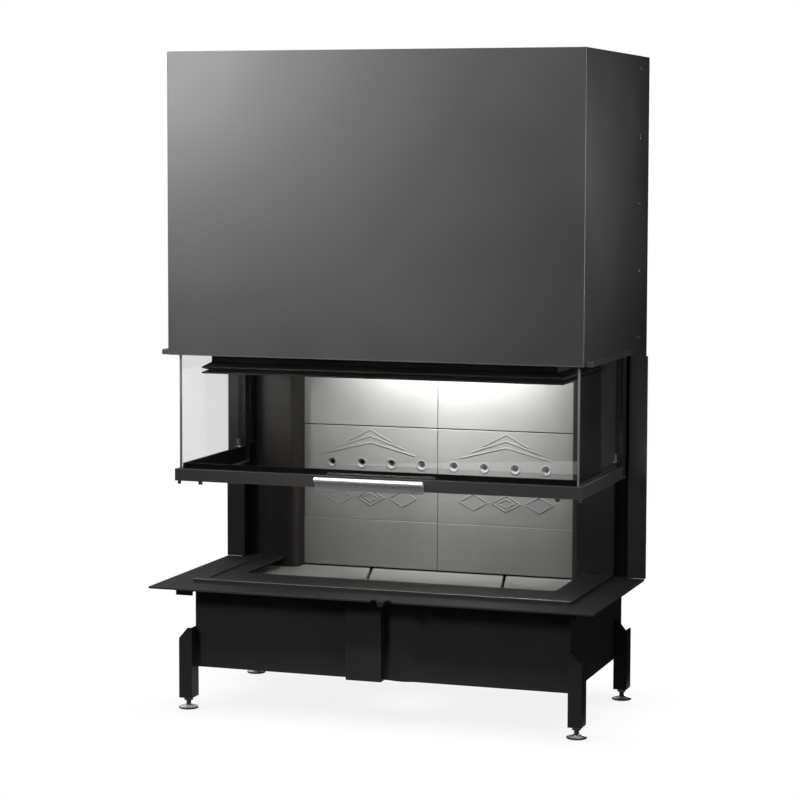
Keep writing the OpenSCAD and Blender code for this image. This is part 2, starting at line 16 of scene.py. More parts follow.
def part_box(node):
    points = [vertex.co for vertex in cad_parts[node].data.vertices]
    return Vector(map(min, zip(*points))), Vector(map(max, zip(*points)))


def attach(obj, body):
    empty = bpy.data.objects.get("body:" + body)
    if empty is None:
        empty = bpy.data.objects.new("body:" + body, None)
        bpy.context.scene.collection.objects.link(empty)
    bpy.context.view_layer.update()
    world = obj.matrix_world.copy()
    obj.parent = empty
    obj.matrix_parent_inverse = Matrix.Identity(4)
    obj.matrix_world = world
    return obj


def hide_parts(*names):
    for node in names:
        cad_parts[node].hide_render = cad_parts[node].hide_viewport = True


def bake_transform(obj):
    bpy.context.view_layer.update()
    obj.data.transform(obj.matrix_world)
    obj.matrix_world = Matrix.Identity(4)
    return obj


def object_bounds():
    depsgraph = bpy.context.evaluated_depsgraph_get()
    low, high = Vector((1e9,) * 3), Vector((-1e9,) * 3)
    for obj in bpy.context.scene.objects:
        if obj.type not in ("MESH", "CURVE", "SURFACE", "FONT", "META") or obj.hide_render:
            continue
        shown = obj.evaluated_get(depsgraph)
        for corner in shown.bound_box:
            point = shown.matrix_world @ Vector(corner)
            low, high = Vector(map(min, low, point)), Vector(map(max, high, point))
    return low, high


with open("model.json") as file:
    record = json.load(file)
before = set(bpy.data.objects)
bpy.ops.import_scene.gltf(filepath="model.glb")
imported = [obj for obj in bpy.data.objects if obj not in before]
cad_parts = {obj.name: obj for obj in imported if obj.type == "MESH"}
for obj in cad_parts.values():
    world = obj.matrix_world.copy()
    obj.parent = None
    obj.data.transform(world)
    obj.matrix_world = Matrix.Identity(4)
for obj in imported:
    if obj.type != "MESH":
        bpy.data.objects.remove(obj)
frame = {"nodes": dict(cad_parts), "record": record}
cad_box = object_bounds()
scene = bpy.context.scene
scene.view_settings.view_transform = "Standard"
lo, hi = cad_box
print("insert is", [round((b - a) * 1000) for a, b in zip(lo, hi)], "mm")

# %% [markdown]
# ## The camera
#
# A product photograph is taken from far away with a long lens, so that upright edges stay
# parallel. The place, turn and lens below were worked out from 35 corners of the casing,
# the door and the hearth plate. The picture was cropped off its centre, so the lens is
# shifted a little instead of being tilted further down.

# %% Camera
FRAME_PX = 800
SENSOR_MM = 36.0
FOCAL_PX = 2507
CENTRE_ROW = 349.3
CAMERA_PLACE = (1.872, -5.651, 1.3145)
CAMERA_TURN = (18.57, 4.45, 0.17)
camera_data = bpy.data.cameras.new("product_camera")
camera_data.sensor_width = SENSOR_MM
camera_data.lens = FOCAL_PX / FRAME_PX * SENSOR_MM
camera_data.shift_y = (CENTRE_ROW - FRAME_PX / 2) / FRAME_PX
camera = bpy.data.objects.new("product_camera", camera_data)
yaw, pitch, roll = (math.radians(a) for a in CAMERA_TURN)
turn = Matrix.Rotation(yaw, 4, "Z") @ Matrix.Rotation(math.pi / 2 - pitch, 4, "X")
camera.matrix_world = Matrix.Translation(CAMERA_PLACE) @ turn @ Matrix.Rotation(roll, 4, "Z")
scene.collection.objects.link(camera)
scene.camera = camera
print("lens", round(camera_data.lens, 1), "mm")

# %% [markdown]
# ## Floor, background and lights
#
# The insert stands cut out against white. The floor and the world are white for the camera,
# for mirrors and for what is seen through glass, but they light the object only dimly, so
# that dark paint keeps its depth. A Light Path node tells the two kinds of ray apart. The
# floor still takes a faint shadow under the feet: an Ambient Occlusion node dims its white
# where the object is near. It lies a little under the feet, so that no faces coincide.

# %% Floor and world
def link(tree, source, target):
    tree.links.new(source, target)


def add(tree, kind, **values):
    node = tree.nodes.new(kind)
    for name, value in values.items():
        setattr(node, name, value)
    return node


def background_rays(tree):
    """1 for rays that show the background: camera, glossy and transmission rays."""
    path = add(tree, "ShaderNodeLightPath")
    total = path.outputs["Is Camera Ray"]
    for kind in ("Is Glossy Ray", "Is Transmission Ray"):
        either = add(tree, "ShaderNodeMath", operation="MAXIMUM")
        link(tree, total, either.inputs[0])
        link(tree, path.outputs[kind], either.inputs[1])
        total = either.outputs[0]
    return total


ROOM_LIGHT = 0.14
SHADOW_REACH, SHADOW_DEPTH = 0.16, 0.22
FLOOR_GREY, FLOOR_RADIUS, FLOOR_DROP = 0.22, 9, 0.0006
world = bpy.data.worlds.new("white_room")
scene.world = world
world.use_nodes = True
tree = world.node_tree
level = add(tree, "ShaderNodeMix", data_type="FLOAT")
level.inputs[2].default_value = ROOM_LIGHT
level.inputs[3].default_value = 1.0
link(tree, background_rays(tree), level.inputs[0])
link(tree, level.outputs[0], tree.nodes["Background"].inputs["Strength"])
tree.nodes["Background"].inputs["Color"].default_value = (1, 1, 1, 1)


def floor_material():
    mat = bpy.data.materials.new("pale_floor")
    mat.use_nodes = True
    t = mat.node_tree
    shader = t.nodes["Principled BSDF"]
    shader.inputs["Base Color"].default_value = (FLOOR_GREY, FLOOR_GREY, FLOOR_GREY, 1)
    shader.inputs["Roughness"].default_value = 0.9
    shader.inputs["Specular IOR Level"].default_value = 0.0
    white = add(t, "ShaderNodeEmission")
    near = add(t, "ShaderNodeAmbientOcclusion", samples=8)
    near.inputs["Distance"].default_value = SHADOW_REACH
    soft = add(t, "ShaderNodeMapRange")
    soft.inputs["To Min"].default_value = 1.0 - SHADOW_DEPTH
    link(t, near.outputs["AO"], soft.inputs["Value"])
    link(t, soft.outputs[0], white.inputs["Strength"])
    mix = add(t, "ShaderNodeMixShader")
    link(t, background_rays(t), mix.inputs[0])
    link(t, shader.outputs[0], mix.inputs[1])
    link(t, white.outputs[0], mix.inputs[2])
    link(t, mix.outputs[0], t.nodes["Material Output"].inputs["Surface"])
    return mat


bm = bmesh.new()
bmesh.ops.create_circle(bm, cap_ends=True, segments=64, radius=FLOOR_RADIUS)
bmesh.ops.translate(bm, verts=bm.verts, vec=(0, 0, -FLOOR_DROP))
floor_mesh = bpy.data.meshes.new("floor")
bm.to_mesh(floor_mesh)
bm.free()
floor_mesh.materials.append(floor_material())
floor = bpy.data.objects.new("floor", floor_mesh)
scene.collection.objects.link(floor)
print("floor", FLOOR_RADIUS * 2, "m wide, room light", ROOM_LIGHT)

# %% [markdown]
# The casing's front is brightest at its upper left and falls off to the right and down.
# That is the soft reflection of one lamp in satin paint. The reflection sits where a mirror
# would show the lamp, so the key's place follows from the camera's mirror image: the wanted
# spot, just outside the upper left corner, lies on the straight line between the two.
#
# Six weaker lamps help it. A wide one overhead lights the ledges and the plate, and the
# hearth light adds to the plate's front. A kicker at the right gives the casing's side its
# tone. The bend light is narrow and stands where the rounded front bend on that side mirrors
# it, which draws a thin bright line down the bend. The rear fill stands low behind, under
# the plate's level, so that it lifts the rear sheet but leaves no glare on the plate. The
# glow hangs inside, just over the top row of bricks, and lights the lining from above.

# %% Lamps
def softbox(name, place, target, size, watts, size_y=None, spread=180):
    data = bpy.data.lights.new(name, "AREA")
    data.spread = math.radians(spread)
    data.shape = "RECTANGLE"
    data.size = size
    data.size_y = size_y or size
    data.energy = watts
    lamp = bpy.data.objects.new(name, data)
    lamp.location = place
    lamp.rotation_euler = (Vector(target) - Vector(place)).to_track_quat("-Z", "Y").to_euler()
    lamp.visible_camera = False
    scene.collection.objects.link(lamp)


SPOT_OUTSIDE, KEY_DISTANCE = 0.22, 3.5
BEND_Z, BEND_WAY, BEND_DISTANCE = 1.22, (0.97, -0.243, 0.0), 2.6
GLOW_X, GLOW_AHEAD, GLOW_OVER = 0.035, 0.16, 0.12
hood_low, hood_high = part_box("hood_front_panel")
front_y = hood_low.y
spot = Vector((hood_low.x - SPOT_OUTSIDE, front_y, hood_high.z + SPOT_OUTSIDE))
eye = camera.matrix_world.translation
mirrored = Vector((eye.x, 2 * front_y - eye.y, eye.z))
key_place = spot + (spot - mirrored).normalized() * KEY_DISTANCE
softbox("key", key_place, (-0.42, front_y, 1.45), 0.7, 18, spread=60)
softbox("overhead", (0.3, -1.6, 3.2), (0.0, -0.1, 0.3), 1.4, 22, 0.6)
softbox("side_kicker", (1.6, 0.95, 1.30), (0.5, -0.05, 1.27), 0.5, 0.48, spread=62)
softbox("hearth_light", (-0.1, -1.55, 2.35), (0.0, hood_low.y, 0.2), 0.5, 2.4, 0.3, spread=42)
bend_middle = Vector((hood_high.x, front_y, BEND_Z))
bend_place = bend_middle + Vector(BEND_WAY) * BEND_DISTANCE
softbox("bend_light", bend_place, bend_middle, 0.4, 2.5, 0.9, spread=30)
softbox("rear_fill", (0.0, 3.4, 0.15), (0.0, 0.33, 1.0), 1.0, 12, 0.2, spread=60)
brick_low, brick_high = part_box("rear_brick_top_right")
glow_place = (GLOW_X, brick_low.y - GLOW_AHEAD, brick_high.z + GLOW_OVER)
glow_target = (GLOW_X, brick_low.y, brick_high.z - 0.03)
softbox("glow", glow_place, glow_target, 0.44, 6.1, 0.05, spread=96)
print("lamps", len(bpy.data.lights), "with the key at", [round(v, 2) for v in key_place])

# %% [markdown]
# Black cards work like negative lamps. Photographers stand them beside dark goods so that
# flat sides and panes reflect black instead of the white room. The camera doesn't see them,
# and they cast no shadow: only reflections meet them, and those with through_glass are also
# met by rays that have passed a pane. Two stand behind, for the casing's side and the left
# part of the plate, one stands in front on the left, for the lower sheets and the panes, and
# a small one far behind serves the right pane. The low ones lie just over the floor, where
# paint and panes would otherwise mirror its white.
#
# The key flag is the other way round: it is met by shadow rays only. It stands before the
# door and keeps the key lamp off a band below the casing.

# %% Black cards
def black_card(name, corners, shade=0.02, through_glass=False, is_flag=False):
    bm = bmesh.new()
    bm.faces.new([bm.verts.new(c) for c in corners])
    mesh = bpy.data.meshes.new(name)
    bm.to_mesh(mesh)
    bm.free()
    mat = bpy.data.materials.new(name)
    mat.use_nodes = True
    shader = mat.node_tree.nodes["Principled BSDF"]
    shader.inputs["Base Color"].default_value = (shade, shade, shade, 1)
    shader.inputs["Roughness"].default_value = 1.0
    shader.inputs["Specular IOR Level"].default_value = 0.0
    mesh.materials.append(mat)
    card = bpy.data.objects.new(name, mesh)
    card.visible_camera = card.visible_diffuse = False
    card.visible_glossy = not is_flag
    card.visible_transmission = through_glass
    card.visible_shadow = is_flag
    scene.collection.objects.link(card)


CARD_FOOT, LOW_CARD_Z = 0.02, 0.03
FLAG_AHEAD, FLAG_GAP, FLAG_HEIGHT = 0.61, 0.07, 0.33


def upright(x0, y0, x1, y1, top, foot=CARD_FOOT):
    return [(x0, y0, foot), (x1, y1, foot), (x1, y1, top), (x0, y0, top)]


def flat(x0, y0, x1, y1):
    return [(x, y, LOW_CARD_Z) for x, y in ((x0, y0), (x1, y0), (x1, y1), (x0, y1))]


black_card("card_behind_right", upright(-0.4, 2.2, 3.4, 1.3, 2.9))
black_card("card_behind_left", upright(-3.4, 2.6, -0.4, 2.2, 1.5), 0.06)
black_card("card_front_left", upright(-4.4, -3.4, 0.9, -5.9, 1.5), through_glass=True)
black_card("card_for_right_pane", upright(1.36, 4.0, 1.72, 4.0, 0.62), 0.06, through_glass=True)
black_card("card_low", flat(-3.0, -4.6, 1.4, -0.42), through_glass=True)
black_card("card_low_right", flat(0.505, -0.3, 2.6, 4.0), through_glass=True)
black_card("card_low_behind", flat(-0.7, 0.36, 0.62, 3.2))
flag_y = front_y - FLAG_AHEAD
share = (flag_y - key_place.y) / (front_y - key_place.y)
flag_top = key_place.z + (hood_low.z - key_place.z) * share - FLAG_GAP
flag_corners = upright(-2.2, flag_y, 0.6, flag_y, flag_top, flag_top - FLAG_HEIGHT)
black_card("key_flag", flag_corners, is_flag=True)
print("key flag up to", round(flag_top, 2), "m")

# %% [markdown]
# ## Materials
#
# Nothing on a real product has one flat colour. Three small node groups give every finish
# its detail. "cloudy" varies a finish slowly and finely at once, "brushing" draws the fine
# parallel scratches of satin metal, and the third group finds the edges, which the paints
# make paler: partly as wear, partly as a painted highlight along each edge.
# The groups put out values only: each Principled shader stays in its material.

# %% Node groups
def new_group(name, inputs, outputs):
    group = bpy.data.node_groups.new(name, "ShaderNodeTree")
    for label, kind, value in inputs:
        socket = group.interface.new_socket(label, in_out="INPUT", socket_type=kind)
        socket.default_value = value
    for label, kind in outputs:
        group.interface.new_socket(label, in_out="OUTPUT", socket_type=kind)
    return group, add(group, "NodeGroupInput"), add(group, "NodeGroupOutput")


def noise(tree, vector, scale, detail=3.0, rough=0.55):
    node = add(tree, "ShaderNodeTexNoise")
    node.inputs["Detail"].default_value = detail
    node.inputs["Roughness"].default_value = rough
    link(tree, vector, node.inputs["Vector"])
    if hasattr(scale, "links"):
        link(tree, scale, node.inputs["Scale"])
    else:
        node.inputs["Scale"].default_value = scale
    return node.outputs["Fac"]


def stretched(group, factors):
    """Object coordinates as they are, and multiplied axis by axis."""
    where = add(group, "ShaderNodeTexCoord")
    stretch = add(group, "ShaderNodeVectorMath", operation="MULTIPLY")
    link(group, where.outputs["Object"], stretch.inputs[0])
    link(group, factors, stretch.inputs[1])
    return where.outputs["Object"], stretch.outputs[0]


FLOAT, VECTOR = "NodeSocketFloat", "NodeSocketVector"
cloudy, gin, gout = new_group(
    "cloudy",
    [("Cloud Scale", FLOAT, 3.0), ("Grain Scale", FLOAT, 600.0), ("Stretch", VECTOR, (1, 1, 1))],
    [("Cloud", FLOAT), ("Grain", FLOAT)],
)
plain, wide = stretched(cloudy, gin.outputs["Stretch"])
link(cloudy, noise(cloudy, wide, gin.outputs["Cloud Scale"]), gout.inputs["Cloud"])
link(cloudy, noise(cloudy, plain, gin.outputs["Grain Scale"], 2.0), gout.inputs["Grain"])

brushing, gin, gout = new_group(
    "brushing",
    [("Direction", VECTOR, (8, 900, 900))],
    [("Scratch", FLOAT)],
)
_, drawn_out = stretched(brushing, gin.outputs["Direction"])
link(brushing, noise(brushing, drawn_out, 1.0, 4.0, 0.7), gout.inputs["Scratch"])

# This group finds the edges. The paints make them paler there: partly wear, partly a painted highlight
# along the edge.
edge_wear_and_highlight, gin, gout = new_group(
    "edge wear and highlight",
    [("Width", FLOAT, 0.002), ("Sharpness", FLOAT, 6.0)],
    [("Edge", FLOAT)],
)
bevel_node = add(edge_wear_and_highlight, "ShaderNodeBevel", samples=4)
link(edge_wear_and_highlight, gin.outputs["Width"], bevel_node.inputs["Radius"])
true_face = add(edge_wear_and_highlight, "ShaderNodeNewGeometry")
dot = add(edge_wear_and_highlight, "ShaderNodeVectorMath", operation="DOT_PRODUCT")
link(edge_wear_and_highlight, bevel_node.outputs[0], dot.inputs[0])
link(edge_wear_and_highlight, true_face.outputs["Normal"], dot.inputs[1])
lack = add(edge_wear_and_highlight, "ShaderNodeMath", operation="SUBTRACT")
lack.inputs[0].default_value = 1.0
link(edge_wear_and_highlight, dot.outputs["Value"], lack.inputs[1])
gain = add(edge_wear_and_highlight, "ShaderNodeMath", operation="MULTIPLY", use_clamp=True)
link(edge_wear_and_highlight, lack.outputs[0], gain.inputs[0])
link(edge_wear_and_highlight, gin.outputs["Sharpness"], gain.inputs[1])
link(edge_wear_and_highlight, gain.outputs[0], gout.inputs["Edge"])
print("groups", [g.name for g in bpy.data.node_groups])

# %% [markdown]
# Each finish starts the same way: a Principled shader, one or two groups, and a few mixes
# between two values. "between" maps a 0 to 1 pattern to a range, for roughness and wear.

# %% Material helpers
def start(name):
    mat = bpy.data.materials.new(name)
    mat.use_nodes = True
    return mat, mat.node_tree, mat.node_tree.nodes["Principled BSDF"]


def place_group(tree, group, **values):
    node = add(tree, "ShaderNodeGroup", node_tree=group)
    for label, value in values.items():
        node.inputs[label.replace("_", " ")].default_value = value
    return node


def between(tree, pattern, low, high, start_at=0.3, end_at=0.7):
    node = add(tree, "ShaderNodeMapRange")
    ends = {"From Min": start_at, "From Max": end_at, "To Min": low, "To Max": high}
    for socket, value in ends.items():
        node.inputs[socket].default_value = value
    link(tree, pattern, node.inputs["Value"])
    return node.outputs[0]


def blend_colours(tree, pattern, first, second):
    node = add(tree, "ShaderNodeMix", data_type="RGBA")
    link(tree, pattern, node.inputs[0])
    for index, colour in ((6, first), (7, second)):
        if hasattr(colour, "links"):
            link(tree, colour, node.inputs[index])
        else:
            node.inputs[index].default_value = (*colour, 1)
    return node.outputs[2]


def bump(tree, shader, height, depth, strength=0.5):
    node = add(tree, "ShaderNodeBump")
    node.inputs["Strength"].default_value = strength
    node.inputs["Distance"].default_value = depth
    link(tree, height, node.inputs["Height"])
    link(tree, node.outputs[0], shader.inputs["Normal"])


print("each finish starts from", len(bpy.data.node_groups), "groups")

# %% [markdown]
# ** Painted sheet.** The casing has a satin, heat-proof anthracite paint. It is a dark colour
# with a broad gloss, a little uneven where the spray overlapped, with a fine skin like an
# orange's. Along its edges it is a little paler, partly as rubbed wear and partly as a painted
# highlight along the edge. The door's bar is given a lighter colour, painted light that stands
# in for the key lamp, which the key flag keeps off it. The black parts use the same recipe,
# darker and duller.

# %% Painted steel
EDGE_WEAR_AND_HIGHLIGHT, SKIN_DEPTH = 0.8, 0.00003


def painted(name, colour, roughness, specular=0.5, worn_and_highlight=(0.16, 0.16, 0.16)):
    mat, tree, shader = start(name)
    pattern = place_group(tree, cloudy, Cloud_Scale=3.5, Grain_Scale=700.0)
    lighter = tuple(c * 1.12 for c in colour)
    darker = tuple(c * 0.90 for c in colour)
    base = blend_colours(tree, between(tree, pattern.outputs["Cloud"], 0, 1), darker, lighter)
    # Wear and painted highlight: the edges are blended towards the paler worn colour.
    edge = place_group(tree, edge_wear_and_highlight, Width=0.0022, Sharpness=2.2)
    rub_and_highlight = add(tree, "ShaderNodeMath", operation="MULTIPLY")
    link(tree, edge.outputs["Edge"], rub_and_highlight.inputs[0])
    rub_and_highlight.inputs[1].default_value = EDGE_WEAR_AND_HIGHLIGHT
    link(tree, blend_colours(tree, rub_and_highlight.outputs[0], base, worn_and_highlight), shader.inputs["Base Color"])
    rough = between(tree, pattern.outputs["Cloud"], roughness - 0.025, roughness + 0.03)
    link(tree, rough, shader.inputs["Roughness"])
    shader.inputs["Specular IOR Level"].default_value = specular
    bump(tree, shader, pattern.outputs["Grain"], SKIN_DEPTH, 0.35)
    return mat


casing_paint = painted("casing_paint", (0.024, 0.024, 0.0245), 0.38, 0.45)
# The door bar's lighter colour is painted light: it stands in for the key lamp's light, which the key
# flag keeps off the bar.
door_bar_painted_light = painted("door_bar_painted_light", (0.038, 0.038, 0.0385), 0.46, 0.5)
hearth_paint = painted("hearth_paint", (0.010, 0.010, 0.010), 0.55, 0.22)
black_paint = painted("black_paint", (0.0075, 0.0075, 0.0078), 0.52, 0.16, (0.03, 0.03, 0.03))
base_paint = painted("base_paint", (0.021, 0.021, 0.0212), 0.55, 0.05, (0.06, 0.06, 0.06))
leg_paint = painted("leg_paint", (0.017, 0.017, 0.0172), 0.55, 0.05, (0.06, 0.06, 0.06))
matt_black = painted("matt_black", (0.0030, 0.0030, 0.0030), 0.60, 0.05, (0.02, 0.02, 0.02))
screw_paint = painted("screw_paint", (0.05, 0.05, 0.05), 0.38)
print("materials so far", len(bpy.data.materials))

# %% [markdown]
# **Bare dark sheet.** The hollow columns beside the fire are thin sheet with a warm, brown
# grey finish, drawn out in upright streaks by the rolling and by heat. A noise that is
# stretched along Z gives the streaks.

# %% Dark sheet
def dark_sheet_finish(name, colour, warm):
    mat, tree, shader = start(name)
    pattern = place_group(tree, cloudy, Cloud_Scale=6.0, Grain_Scale=500.0, Stretch=(5, 5, 0.35))
    tone = between(tree, pattern.outputs["Cloud"], 0, 1, 0.35, 0.65)
    link(tree, blend_colours(tree, tone, colour, warm), shader.inputs["Base Color"])
    link(tree, between(tree, pattern.outputs["Cloud"], 0.40, 0.50), shader.inputs["Roughness"])
    shader.inputs["Specular IOR Level"].default_value = 0.3
    bump(tree, shader, pattern.outputs["Grain"], 0.00003, 0.3)
    return mat


dark_sheet = dark_sheet_finish("dark_sheet", (0.0125, 0.0115, 0.011), (0.018, 0.0155, 0.014))
print("bare sheet", dark_sheet.name)

# %% [markdown]
# ** Metal.** The handle is stainless steel, brushed along its length. Its round rail is more
# matt than the grip plate, and paler too, as a painted highlight that widens its bright band.
# The pulleys and their brackets are zinc plated, a bright grey with soft crystals, and so are
# the discs of the feet, paler still as a painted highlight. Rods and nuts are blackened, the
# hearth rail's outer rounding (partly worn, partly a painted highlight) and the clips are bare
# steel, and wire rope is duller steel.

# %% Stainless steel, zinc and wire rope
def metal(name, colour, roughness, direction=(6, 900, 900), scratch=0.12, depth=0.00002):
    mat, tree, shader = start(name)
    shader.inputs["Metallic"].default_value = 1.0
    lines = place_group(tree, brushing, Direction=direction)
    tone = between(tree, lines.outputs["Scratch"], 0, 1)
    darker = tuple(c * 0.86 for c in colour)
    link(tree, blend_colours(tree, tone, darker, colour), shader.inputs["Base Color"])
    smooth, dull = roughness - scratch / 2, roughness + scratch / 2
    link(tree, between(tree, lines.outputs["Scratch"], smooth, dull), shader.inputs["Roughness"])
    bump(tree, shader, lines.outputs["Scratch"], depth, 0.3)
    return mat


stainless = metal("stainless", (0.72, 0.72, 0.715), 0.40)
# The rail's paler colour is a painted highlight that widens its bright band; its duller finish is real.
handle_rail_highlight_steel = metal("handle_rail_highlight_steel", (0.93, 0.93, 0.925), 0.56)
zinc = metal("zinc", (0.56, 0.57, 0.59), 0.34, (60, 60, 60), 0.16, 0.00003)
black_steel = metal("black_steel", (0.035, 0.035, 0.036), 0.45, (90, 90, 90), 0.1, 0.00003)
bare_steel = metal("bare_steel", (0.45, 0.45, 0.445), 0.36, (700, 700, 700), 0.1, 0.00002)
foot_zinc_with_highlight = metal("foot_zinc_with_highlight", (0.90, 0.90, 0.905), 0.50, (60, 60, 60), 0.16, 0.00003)
wire_rope = metal("wire_rope", (0.50, 0.50, 0.50), 0.42, (500, 500, 90), 0.1, 0.0001)
print("materials with the metals", len(bpy.data.materials))

# %% [markdown]
# **Fireclay.** The lining is pale, dry and matt. Its surface has a fine sandy grain, a few
# open pits, and faint clouds from firing. Grain and pits go into one height for the bump,
# so that they catch the light together.

# %% Firebrick
def fireclay(name, colour, stain):
    mat, tree, shader = start(name)
    pattern = place_group(tree, cloudy, Cloud_Scale=5.0, Grain_Scale=420.0)
    fired = between(tree, pattern.outputs["Cloud"], 0, 1, 0.35, 0.75)
    base = blend_colours(tree, fired, colour, stain)
    pits = add(tree, "ShaderNodeTexVoronoi", feature="DISTANCE_TO_EDGE")
    pits.inputs["Scale"].default_value = 150.0
    where = add(tree, "ShaderNodeTexCoord")
    link(tree, where.outputs["Object"], pits.inputs["Vector"])
    speck = between(tree, pattern.outputs["Grain"], 0.0, 0.35, 0.60, 0.72)
    darker = tuple(c * 0.55 for c in colour)
    link(tree, blend_colours(tree, speck, base, darker), shader.inputs["Base Color"])
    shader.inputs["Roughness"].default_value = 0.88
    shader.inputs["Specular IOR Level"].default_value = 0.25
    height = add(tree, "ShaderNodeMath", operation="MULTIPLY_ADD")
    link(tree, pits.outputs["Distance"], height.inputs[0])
    height.inputs[1].default_value = 0.6
    link(tree, pattern.outputs["Grain"], height.inputs[2])
    bump(tree, shader, height.outputs[0], 0.0004, 0.35)
    return mat


firebrick = fireclay("firebrick", (0.235, 0.232, 0.228), (0.20, 0.197, 0.19))
hearth_brick = fireclay("hearth_brick", (0.25, 0.245, 0.235), (0.215, 0.21, 0.20))
print("bricks in", firebrick.name, "and", hearth_brick.name)

# %% [markdown]
# **Ceramic glass.** The panes are clear, with a faint grey tint. Light for the bricks must
# pass through them, and a solid glass block would cast a full shadow, so the shader lets
# shadow rays go straight through. The ground edges are frosted.

# %% Glass
def clear_glass():
    mat, tree, shader = start("pane_glass")
    shader.inputs["Base Color"].default_value = (0.99, 0.995, 0.99, 1)
    shader.inputs["Transmission Weight"].default_value = 1.0
    shader.inputs["Roughness"].default_value = 0.0
    shader.inputs["IOR"].default_value = 1.5
    clear = add(tree, "ShaderNodeBsdfTransparent")
    clear.inputs["Color"].default_value = (0.88, 0.89, 0.885, 1)
    mix = add(tree, "ShaderNodeMixShader")
    path = add(tree, "ShaderNodeLightPath")
    link(tree, path.outputs["Is Shadow Ray"], mix.inputs[0])
    link(tree, shader.outputs[0], mix.inputs[1])
    link(tree, clear.outputs[0], mix.inputs[2])
    link(tree, mix.outputs[0], tree.nodes["Material Output"].inputs["Surface"])
    return mat


def frosted_edge():
    mat, tree, shader = start("ground_edge")
    pattern = place_group(tree, cloudy, Cloud_Scale=40.0, Grain_Scale=2500.0)
    tone = between(tree, pattern.outputs["Cloud"], 0, 1)
    frost = blend_colours(tree, tone, (0.17, 0.185, 0.18), (0.22, 0.235, 0.23))
    link(tree, frost, shader.inputs["Base Color"])
    shader.inputs["Roughness"].default_value = 0.5
    return mat


pane_glass = clear_glass()
ground_edge = frosted_edge()
print("materials", len(bpy.data.materials))

# %% [markdown]
# ## Sheet metal
#
# Real bent sheet never has a razor edge: its corners are rounded by the bend or the file,
# and those thin round strips catch the light. The CAD plates are sharp, so each visible one
# is copied, its loose triangles are merged, flat faces are joined again, and every sharp
# edge gets a small bevel. The copy then stands in for the CAD plate.

# %% Helpers for pieces
WELD = 1e-6


def copy_of(node):
    """A bmesh copy of a CAD node with its triangles merged into clean flat faces."""
    bm = bmesh.new()
    bm.from_mesh(frame["nodes"][node].data)
    bmesh.ops.remove_doubles(bm, verts=bm.verts, dist=WELD)
    bmesh.ops.dissolve_limit(
        bm,
        angle_limit=math.radians(0.4),
        verts=bm.verts,
        edges=bm.edges,
        use_dissolve_boundaries=False,
    )
    return bm


def round_edges(bm, width, segments=2, sharper_than=30, keep=None):
    """Bevels the sharp edges, or only those of them that keep(edge) picks."""
    least = math.radians(sharper_than)
    edges = [e for e in bm.edges if e.is_manifold and e.calc_face_angle() > least]
    if keep:
        edges = [e for e in edges if keep(e)]
    bmesh.ops.bevel(
        bm,
        geom=edges,
        offset=width,
        offset_type="OFFSET",
        affect="EDGES",
        segments=segments,
        profile=0.5,
        material=-1,
        clamp_overlap=True,
    )
    return len(edges)


def body_of(node):
    bodies = frame["record"]["behaviour"]["bodies"]
    return next(name for name, nodes in bodies.items() if node in nodes)


def piece(bm, name, material, body, stands_for=(), smooth=True):
    """Turns a finished bmesh into an object that rides on its body, if it has just one."""
    for face in bm.faces:
        face.smooth = smooth
    mesh = bpy.data.meshes.new(name)
    bm.to_mesh(mesh)
    bm.free()
    for one in material if isinstance(material, (list, tuple)) else [material]:
        mesh.materials.append(one)
    obj = bpy.data.objects.new(name, mesh)
    scene.collection.objects.link(obj)
    if smooth:
        shading = obj.modifiers.new("even_shading", "WEIGHTED_NORMAL")
        shading.keep_sharp = True
        shading.weight = 80
    if body:
        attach(obj, body)
    if stands_for:
        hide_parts(*stands_for)
    return obj


def formed(node, material, width, segments=2):
    """The usual case: a CAD plate with rounded edges in its place."""
    bm = copy_of(node)
    round_edges(bm, width, segments)
    piece(bm, node + "-formed", material, body_of(node), [node])


# %% [markdown]
# Round parts are made as on a lathe: a half profile is drawn as a line of radius and height
# and spun once round its axis. Small loose parts of one CAD node, such as the ten screws,
# are found again as islands of its mesh, and a dressed part is set at the place of each.

# %% Lathe and island helpers
def add_in(bm, other, matrix):
    """Copies another bmesh into bm, moved by a matrix."""
    other.transform(matrix)
    passing = bpy.data.meshes.new("passing")
    other.to_mesh(passing)
    other.free()
    bm.from_mesh(passing)
    bpy.data.meshes.remove(passing)


def turned(profile, segments):
    """Spins (radius, height) points once round Z."""
    bm = bmesh.new()
    verts = [bm.verts.new((r, 0, h)) for r, h in profile]
    edges = [bm.edges.new(pair) for pair in zip(verts, verts[1:])]
    bmesh.ops.spin(
        bm,
        geom=verts + edges,
        cent=(0, 0, 0),
        axis=(0, 0, 1),
        angle=2 * math.pi,
        steps=segments,
        use_merge=True,
    )
    bmesh.ops.remove_doubles(bm, verts=bm.verts, dist=WELD)
    bmesh.ops.recalc_face_normals(bm, faces=bm.faces)
    return bm


def islands(node):
    """The (lo, hi) boxes of a node's loose parts."""
    bm = copy_of(node)
    left, boxes = set(bm.verts), []
    while left:
        todo, found = [left.pop()], []
        while todo:
            vert = todo.pop()
            found.append(vert.co.copy())
            for edge in vert.link_edges:
                other = edge.other_vert(vert)
                if other in left:
                    left.remove(other)
                    todo.append(other)
        lows = Vector([min(c[i] for c in found) for i in range(3)])
        highs = Vector([max(c[i] for c in found) for i in range(3)])
        boxes.append((lows, highs))
    bm.free()
    return boxes


ALONG_X = Matrix.Rotation(math.radians(90), 4, "Y")
TO_FRONT = Matrix.Rotation(math.radians(90), 4, "X")
SIDES = ("left", "right")
CORNERS = ("front_left", "front_right", "rear_left", "rear_right")
print("loose parts among the screws", len(islands("casing_screws")))

# %% [markdown]
# ### The casing
#
# The tall casing is bent from 2 mm sheet. Its front sheet wraps the corner, the side sheets
# end at a seam near the back, and behind the seam the rear column runs down to the hearth.

